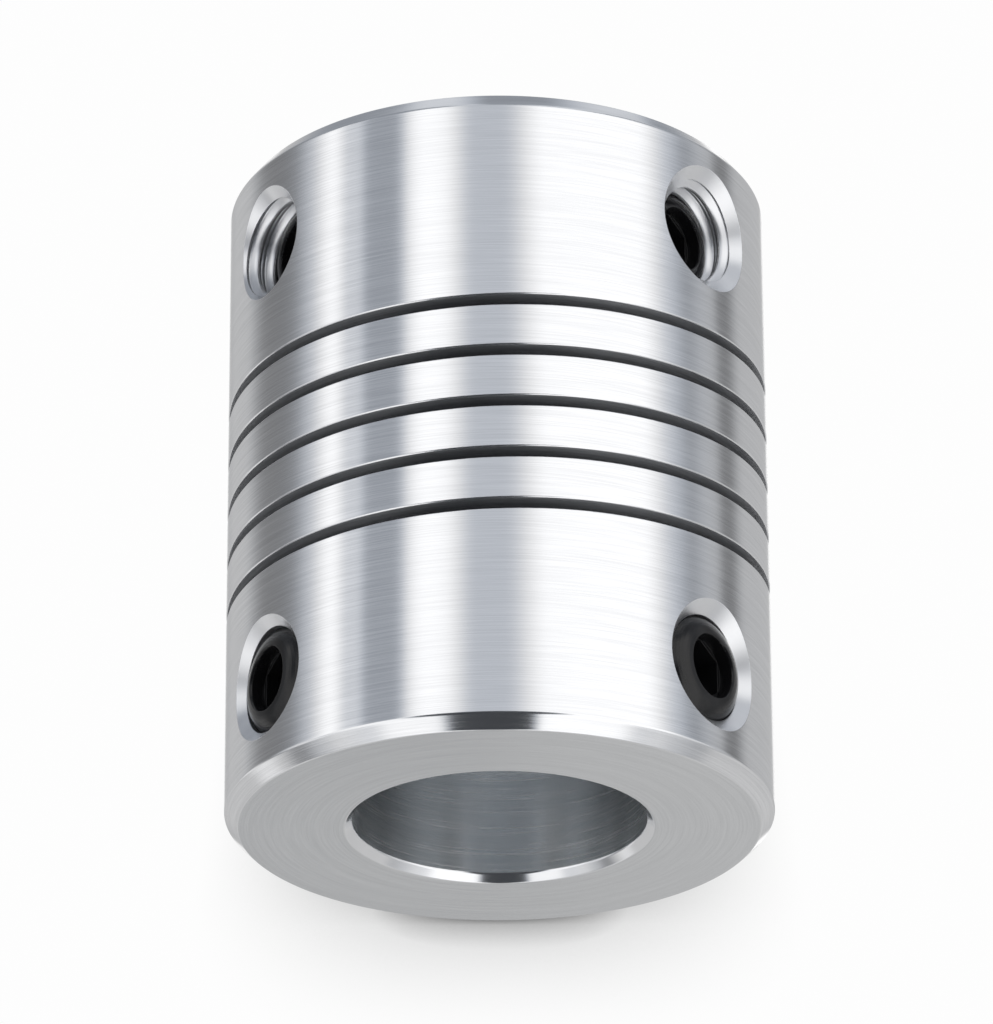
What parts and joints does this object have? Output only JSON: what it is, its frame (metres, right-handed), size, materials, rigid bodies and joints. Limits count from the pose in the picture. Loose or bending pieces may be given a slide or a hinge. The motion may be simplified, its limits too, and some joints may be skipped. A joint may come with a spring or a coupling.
{
  "type": "shaft coupling",
  "caption": "Helical beam shaft coupling: a one-piece aluminium cylinder with a spiral cut that flexes, and radial set screws that grip a shaft in each end.",
  "frame": {"origin": "centre of the lower end face, on the axis of the bores", "axes": "+Z runs along the bores from the lower end face to the upper one; the set screws of each hub sit either side of -Y, one towards +X and one towards -X"},
  "size_m": [0.03, 0.03, 0.0375],
  "materials": {
    "body": "turned, bright, uncoated",
    "screw": "black oxide"
  },
  "bodies": {
    "root": {"body": "body", "set_screw_lower_left": "screw", "set_screw_lower_right": "screw", "set_screw_upper_left": "screw", "set_screw_upper_right": "screw"}
  },
  "joints": []
}
